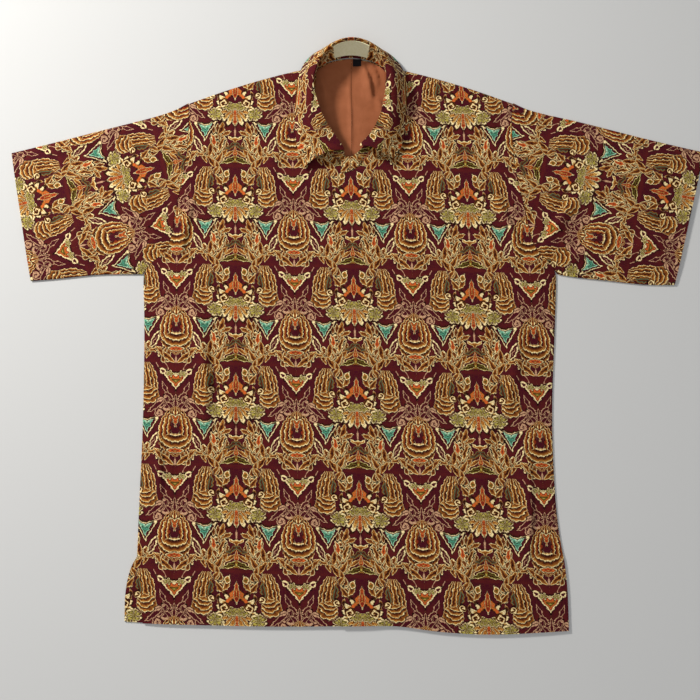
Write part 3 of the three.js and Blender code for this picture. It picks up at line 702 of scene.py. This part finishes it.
# %% A fine copy of a piece
WELD = 0.00001
SQUARE_ANGLE = math.radians(40)
SHARP_ANGLE = math.radians(75)
ROUND_ANGLE = math.radians(50)              # edges flatter than this are shaded smooth


def fine_copy(node, name, levels=2):
    """A smooth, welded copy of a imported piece, as an object of its own at the origin."""
    piece = bpy.data.objects.new(name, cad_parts[node].data.copy())
    bpy.context.scene.collection.objects.link(piece)
    bpy.ops.object.select_all(action="DESELECT")
    piece.select_set(True)
    bpy.context.view_layer.objects.active = piece
    bpy.ops.mesh.customdata_custom_splitnormals_clear()
    bpy.ops.object.mode_set(mode="EDIT")
    bpy.ops.mesh.select_mode(type="EDGE")
    bpy.ops.mesh.select_all(action="SELECT")
    bpy.ops.mesh.remove_doubles(threshold=WELD)
    bpy.ops.mesh.tris_convert_to_quads(face_threshold=SQUARE_ANGLE, shape_threshold=math.pi)
    bpy.ops.mesh.select_all(action="DESELECT")
    bpy.ops.mesh.edges_select_sharp(sharpness=SHARP_ANGLE)
    bpy.ops.transform.edge_crease(value=1.0)
    bpy.ops.object.mode_set(mode="OBJECT")
    smooth = piece.modifiers.new("smooth", "SUBSURF")
    smooth.levels = smooth.render_levels = levels
    bpy.ops.object.modifier_apply(modifier=smooth.name)
    bpy.ops.object.shade_smooth_by_angle(angle=ROUND_ANGLE)
    return piece


def points_of(piece):
    """The piece's points as rows of x, y and z."""
    points = np.empty(len(piece.data.vertices) * 3)
    piece.data.vertices.foreach_get("co", points)
    return points.reshape(-1, 3)


def move_points(piece, points):
    """Puts the piece's points where the rows say."""
    piece.data.vertices.foreach_set("co", points.ravel())
    piece.data.update()


print("a piece is welded within", WELD * 1000, "mm and then smoothed")

# %% [markdown]
# ## The cloth's own map
# The print has to follow the grain, so each piece gets a map counted in repeats. On the body it is
# straight up and down, but the cloth was laid a little askew: the columns spread and lean towards
# the hem. A sleeve's grain points along the arm, and the collar's runs round the neck.

# %% A map for the body
TUMPAL_OUT, TUMPAL_UP = -159.6, 454.9       # the foot of one tumpal on the right front
AXIS_OUT, AXIS_UP, AXIS_LEAN = 15.1, 43, 0.0266     # the middle column: a point on it and its lean
BODY_TALL = 141.6             # height of a repeat on the body
# A column's width and a row's lean: where each is read, its value there, its growth for each
# millimetre towards the hem, and its limits.
COLUMN_UP, COLUMN_WIDE, COLUMN_GROWTH, COLUMN_LIMITS = 608, 164.75, 0.00995, (163, 171)
ROW_UP, ROW_LEAN, ROW_GROWTH, ROW_LIMITS = 650, 0.02, 0.000057, (0.016, 0.04)


def body_map(points):
    """Columns that spread and lean towards the hem, and rows that sink towards the wearer's left."""
    out, up = cutter(points)
    axis = AXIS_OUT - (up - AXIS_UP) * AXIS_LEAN
    wide = np.clip(COLUMN_WIDE + (COLUMN_UP - up) * COLUMN_GROWTH, *COLUMN_LIMITS)
    lean = np.clip(ROW_LEAN + (ROW_UP - up) * ROW_GROWTH, *ROW_LIMITS)
    return (out - axis) / wide, (up - TUMPAL_UP + lean * (out - TUMPAL_OUT)) / BODY_TALL


print("body map starts at the tumpal's foot,", TUMPAL_OUT, TUMPAL_UP)

# %% Maps for the sleeves, the collar and the lining
SLEEVE_WIDE = 165             # width of a repeat on the sleeves
NECK_UP = 720                 # the middle of the neck opening, above the hem line
NECK_RADIUS = 62


def sleeve_map(foot_out, foot_up, slope):
    """A map whose columns point up the arm, from the foot of one tumpal."""
    along = np.array([math.cos(slope), math.sin(slope)])

    def mapped(points):
        out, up = cutter(points)
        out, up = out - foot_out, up - foot_up
        across = (out * along[1] - up * along[0]) / SLEEVE_WIDE
        return across, (out * along[0] + up * along[1]) / REPEAT_TALL

    return mapped


def collar_map(points):
    """Runs round the neck, and down over the leaf."""
    out, up = cutter(points)
    round_neck = np.arctan2(out, up - NECK_UP) * NECK_RADIUS
    fall = np.hypot(out, up - NECK_UP) - points[:, 2] / MM
    return round_neck / REPEAT_WIDE, fall / REPEAT_TALL


def plain_map(points):
    """Straight up and across."""
    out, up = cutter(points)
    return out / REPEAT_WIDE, up / REPEAT_TALL


def lay_map(piece, mapping):
    """Writes a map, counted in repeats, on to the piece."""
    mesh = piece.data
    while mesh.uv_layers:
        mesh.uv_layers.remove(mesh.uv_layers[0])
    layer = mesh.uv_layers.new(name="cloth")
    corners = np.empty(len(mesh.loops), dtype=np.int64)
    mesh.loops.foreach_get("vertex_index", corners)
    across, down = mapping(points_of(piece))
    layer.data.foreach_set("uv", np.stack([across[corners], down[corners]], axis=1).ravel())


print("round the neck a repeat turns", round(math.degrees(REPEAT_WIDE / NECK_RADIUS)), "degrees")

# %% [markdown]
# ## Creases
# Worn and folded cotton keeps soft troughs and ridges. They are listed as lines, each with
# its own length, height and width, and they fade at both ends. The upper layers get the deep ones.
# The under layers lie flat on the table, so they get shallow hollows on their underside instead.

# %% Creases of the fronts


def crease(start, end, height, width, steep=0.5):
    """One ridge, or a trough where height is below 0, from its start down to its end.

    All in millimetres from the cutter's lines. One flank is narrower than the other by steep.
    """
    return {"start": np.array(start, float), "end": np.array(end, float),
            "height": height, "width": width, "steep": steep}


FRONT_CREASES = [
    crease((-224, 478), (-206, 388), 3.0, 9, 0.45),
    crease((-206, 432), (-199, 244), 7.6, 11, 0.26),
    crease((-196, 420), (-190, 258), -2.4, 6, 0.7),
    crease((-258, 276), (-266, 162), 7.0, 10, 0.28),
    crease((-172, 380), (-160, 190), 2.2, 13),
    crease((-262, 330), (-240, 130), 2.6, 13),
    crease((-244, 150), (-262, 16), 2.6, 11, 0.45),
    crease((-120, 700), (-92, 545), 2.4, 14, 0.45),
    crease((-72, 470), (-84, 300), 1.8, 14),
    crease((-60, 300), (-44, 60), 2.1, 15),
    crease((70, 610), (96, 420), 2.1, 16),
    crease((118, 420), (106, 250), 1.8, 14),
    crease((240, 452), (214, 250), 3.4, 12, 0.45),
    crease((252, 250), (234, 50), 5.0, 11, 0.32),
    crease((196, 330), (184, 150), 1.9, 14),
    crease((150, 150), (160, -2), 2.8, 12, 0.45),
    crease((64, 120), (58, 0), 2.1, 12),
    crease((-150, 110), (-162, 2), 2.5, 12),
    crease((-88, 130), (-84, 4), 1.8, 13),
    crease((210, 612), (240, 500), 5.0, 10, 0.32),
    crease((-216, 602), (-248, 500), 5.0, 10, 0.32),
    crease((182, 750), (216, 640), 2.2, 12),
    crease((-176, 756), (-214, 640), 2.3, 12),
    crease((-40, 566), (70, 540), 1.3, 18),
]
print(len(FRONT_CREASES), "creases on the fronts")

# %% Creases of the sleeves
SLEEVE_CREASES = [
    crease((-266, 518), (-336, 608), 5.6, 11, 0.32),
    crease((-290, 500), (-352, 540), 2.6, 9, 0.45),
    crease((-262, 566), (-440, 592), 2.2, 16),
    crease((-300, 700), (-462, 652), 2.6, 11),
    crease((-355, 492), (-424, 566), 2.7, 12),
    crease((264, 518), (334, 606), 5.6, 11, 0.32),
    crease((290, 498), (356, 536), 2.6, 9, 0.45),
    crease((262, 646), (430, 602), 2.3, 16),
    crease((296, 700), (470, 642), 2.7, 11),
    crease((372, 490), (442, 552), 2.6, 13),
]
print(len(SLEEVE_CREASES), "creases on the sleeves")

# %% Creases of the underside and the lining
UNDER_CREASES = [
    crease((-60, 720), (-84, 470), 0.7, 12),
    crease((-128, 540), (-112, 300), 0.55, 14),
    crease((22, 640), (34, 330), 0.6, 13),
    crease((118, 690), (92, 520), 0.7, 11),
    crease((176, 470), (190, 210), 0.6, 14),
    crease((-196, 300), (-214, 60), 0.7, 12),
    crease((-30, 240), (-52, 20), 0.5, 13),
    crease((84, 210), (96, 10), 0.6, 12),
    crease((-250, 560), (-400, 600), 0.6, 13),
    crease((-300, 500), (-380, 560), 0.7, 10),
    crease((-330, 680), (-450, 640), 0.5, 12),
    crease((255, 570), (410, 612), 0.6, 13),
    crease((310, 500), (392, 552), 0.7, 10),
    crease((330, 684), (462, 650), 0.5, 12),
]
LINING_CREASES = [
    crease((14, 797), (36, 733), 5.4, 6, 0.3),
    crease((28, 797), (42, 756), 4.2, 5, 0.3),
    crease((40, 792), (56, 758), 4.6, 5, 0.3),
    crease((40, 744), (47, 712), 4.4, 4.5, 0.3),
    crease((0, 803), (0, 636), 1.6, 4, 0.4),
    crease((-48, 780), (-30, 726), 3.0, 6),
]
print(len(UNDER_CREASES), "creases below and", len(LINING_CREASES), "in the lining")

# %% Press the creases
WANDER = 0.35                 # how far a crease strays to its sides, as a share of its width
WANDER_TURN = 5.0             # how much of a wave it makes on its way, in radians
END_FADE = 1.2                # how softly it fades at its ends
UPPER_LAYER = 0.0014          # everything higher than this belongs to an upper layer
LAYER_STEP = 0.002            # and has the whole crease when it is this much higher still
UNDERSIDE = 0.0003            # everything lower than this touches the table


def relief(creases, out, up):
    """Height in millimetres that the creases add at each point."""
    total = np.zeros_like(out)
    for row in creases:
        line = row["end"] - row["start"]
        share = ((out - row["start"][0]) * line[0] + (up - row["start"][1]) * line[1]) / line.dot(line)
        wander = WANDER * row["width"] * np.sin(share * WANDER_TURN + row["width"])
        away = ((out - row["start"][0]) * -line[1] + (up - row["start"][1]) * line[0]) / np.hypot(*line)
        away = away - wander
        flank = row["width"] * np.where(away > 0, row["steep"], 1.0)
        ends = np.sin(np.pi * np.clip(share, 0, 1)) ** END_FADE
        total += row["height"] * ends * np.exp(-(away / flank) ** 2)
    return total


def press_creases(piece, creases, floor_height=UPPER_LAYER):
    """Lifts and sinks what lies above a height along the creases."""
    points = points_of(piece)
    out, up = cutter(points)
    upper = np.clip((points[:, 2] - floor_height) / LAYER_STEP, 0, 1)
    points[:, 2] += relief(creases, out, up) * upper * MM
    move_points(piece, points)


def press_underside(piece, creases):
    """Lifts the underside off the table along the creases; the face above it stays."""
    points = points_of(piece)
    out, up = cutter(points)
    under = points[:, 2] < UNDERSIDE
    points[under, 2] += relief(creases, out, up)[under] * MM
    move_points(piece, points)


print("a layer takes the whole crease from", (UPPER_LAYER + LAYER_STEP) / MM, "mm up")

# %% [markdown]
# ## Body and sleeves
# The back lies flat under everything. The two fronts roll down over its edges at the side seams and
# shoulders, and the wearer's left front lies over the right one along a concealed placket. The
# sleeves are flattened tubes. Each piece stands for its imported node.

# %% Finish a piece of cloth


def finish_piece(piece, node, material):
    """Gives a piece its fabric and its place in the body, and hides its imported node."""
    piece.data.materials.clear()
    piece.data.materials.append(material)
    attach(piece, "root")
    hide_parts(node)
    print(piece.name, "has", len(piece.data.polygons), "faces")


# %% The back
back = fine_copy("back", "back_panel", 3)
press_underside(back, UNDER_CREASES)
lay_map(back, body_map)
finish_piece(back, "back", cotton)

# %% The fronts
right_front = fine_copy("front_right", "right_front_panel", 3)
press_creases(right_front, FRONT_CREASES)
lay_map(right_front, body_map)
finish_piece(right_front, "front_right", cotton)
left_front = fine_copy("front_left", "left_front_panel", 3)
press_creases(left_front, FRONT_CREASES)
lay_map(left_front, body_map)
finish_piece(left_front, "front_left", cotton)

# %% The sleeves
right_sleeve = fine_copy("sleeve_right", "right_sleeve_tube", 3)
press_creases(right_sleeve, SLEEVE_CREASES)
press_underside(right_sleeve, UNDER_CREASES)
lay_map(right_sleeve, sleeve_map(foot_out=-445, foot_up=591, slope=math.radians(15.5)))
finish_piece(right_sleeve, "sleeve_right", cotton)
left_sleeve = fine_copy("sleeve_left", "left_sleeve_tube", 3)
press_creases(left_sleeve, SLEEVE_CREASES)
press_underside(left_sleeve, UNDER_CREASES)
lay_map(left_sleeve, sleeve_map(foot_out=455, foot_up=598.5, slope=math.radians(169)))
finish_piece(left_sleeve, "sleeve_left", cotton)

# %% [markdown]
# ## Collar
# A shirt collar has two pieces: a stand that is sewn round the neck, and a leaf that turns over it
# and falls on to the fronts. Three small functions give the worn collar its spring, its V and its
# roll, and none of them moves the neck seam.

# %% The leaf's front edge
NECK_END = 20                 # out from the centre front to where the leaf's front edge starts
TIP_OUT = 66                  # and to its point
EDGE_UP = 657                 # the height of its start
EDGE_FALL = 22                # the point lies this much lower
SPRING = 9                    # how far the edge springs up, in millimetres
SPRING_SIDES = {"left": 1.3, "right": 0.8}  # more on the wearer's left
SPRING_REACH = 13             # how far behind the edge the spring dies out
ARCH_MIDDLE = 0.35            # where along the edge it is highest, as a share
ARCH_HALF = 0.75              # and how far it reaches to both sides


def spring_front(piece):
    """Lets the leaf's front edge arch up, and spring clear of the fronts between neck and point."""
    points = points_of(piece)
    out, up = cutter(points)
    share = np.clip((np.abs(out) - NECK_END) / (TIP_OUT - NECK_END), -0.4, 1)
    above = up - (EDGE_UP - EDGE_FALL * share)
    near = np.exp(-np.clip(above, 0, None) / SPRING_REACH)
    arch = np.cos(np.clip(share - ARCH_MIDDLE, -ARCH_HALF, ARCH_HALF) * math.pi / (2 * ARCH_HALF))
    side = np.where(out > 0, SPRING_SIDES["left"], SPRING_SIDES["right"])
    points[:, 1] += SPRING * side * near * arch * MM
    points[:, 2] += SPRING * side * near * arch * MM
    move_points(piece, points)


print("the leaf's edge springs by up to", SPRING * SPRING_SIDES["left"], "mm")

# %% The V of the neck
V_TOP, V_LENGTH, V_DRAW = 712, 52, 9        # the V starts here, grows over this length, to this much
PLACKET_FREE = 14             # nearer the centre than this, the neck is drawn in less
SEAM_HEIGHT, SEAM_FADE = 8, 5               # the neck seam below this height stays where it is
DRAW_END, DRAW_SLOPE = 1.9, 32              # how the draw dies out towards the leaf's edge


def draw_in(piece):
    """Brings both sides of the neck together towards the front, so that it ends in a V."""
    points = points_of(piece)
    out, up = cutter(points)
    low = np.clip((V_TOP - up) / V_LENGTH, 0, 1)
    outwards = np.clip(DRAW_END - np.abs(out) / DRAW_SLOPE, 0, 1)
    inner = np.clip(np.abs(out) / PLACKET_FREE, 0, 1) * outwards
    high = np.clip((points[:, 2] / MM - SEAM_HEIGHT) / SEAM_FADE, 0, 1)
    points[:, 0] -= np.sign(out) * V_DRAW * low * inner * high * MM
    move_points(piece, points)


print("the neck is drawn in by", V_DRAW, "mm on each side")

# %% The roll of the leaf
FOLD_OUT, FOLD_GROWTH, FOLD_LENGTH = 20, 30, 60     # the fold's way out, from the front backwards
LEAF_OUT = 82                 # out to the leaf's edge
BACK_END, BACK_FADE = 790, 40               # the roll dies out before the back neck
FRONT_END, FRONT_FADE = 650, 30             # and before the front
BULGE = 6
BULGE_SIDES = {"left": 1.0, "right": 0.5}


def round_fall(piece):
    """Makes the leaf roll over broadly and then drop steeply to its edge."""
    points = points_of(piece)
    out, up = cutter(points)
    fold = FOLD_OUT + FOLD_GROWTH * np.clip((up - EDGE_UP) / FOLD_LENGTH, 0, 1)
    share = np.clip((np.abs(out) - fold) / (LEAF_OUT - fold), 0, 1)
    behind = np.clip((BACK_END - up) / BACK_FADE, 0, 1)
    ahead = np.clip((up - FRONT_END) / FRONT_FADE, 0, 1)
    side = np.where(out > 0, BULGE_SIDES["left"], BULGE_SIDES["right"])
    points[:, 2] += BULGE * side * np.sin(np.pi * share) * behind * ahead * MM
    move_points(piece, points)


print("the leaf bulges by up to", BULGE, "mm")

# %% Stand and leaf
stand = fine_copy("collar_stand", "neck_stand")
draw_in(stand)
lay_map(stand, collar_map)
finish_piece(stand, "collar_stand", cotton)
leaf_piece = fine_copy("collar_leaf", "fall_of_collar")
draw_in(leaf_piece)
round_fall(leaf_piece)
spring_front(leaf_piece)
lay_map(leaf_piece, collar_map)
finish_piece(leaf_piece, "collar_leaf", cotton)

# %% [markdown]
# ## Lining, label and size tab
# Inside the neck the lining shows as two terracotta panels that meet at the centre back. The label
# and the size tab are left bare: no name is woven into them.

# %% Inside the neck
for side in ("right", "left"):
    panel = fine_copy("lining_" + side, side + "_lining_panel")
    press_creases(panel, LINING_CREASES, 0)
    lay_map(panel, plain_map)
    finish_piece(panel, "lining_" + side, lining)
label = fine_copy("neck_label", "bare_label")
lay_map(label, collar_map)
finish_piece(label, "neck_label", satin)
tab = fine_copy("size_tab", "bare_size_tab")
lay_map(tab, plain_map)
finish_piece(tab, "size_tab", tape)
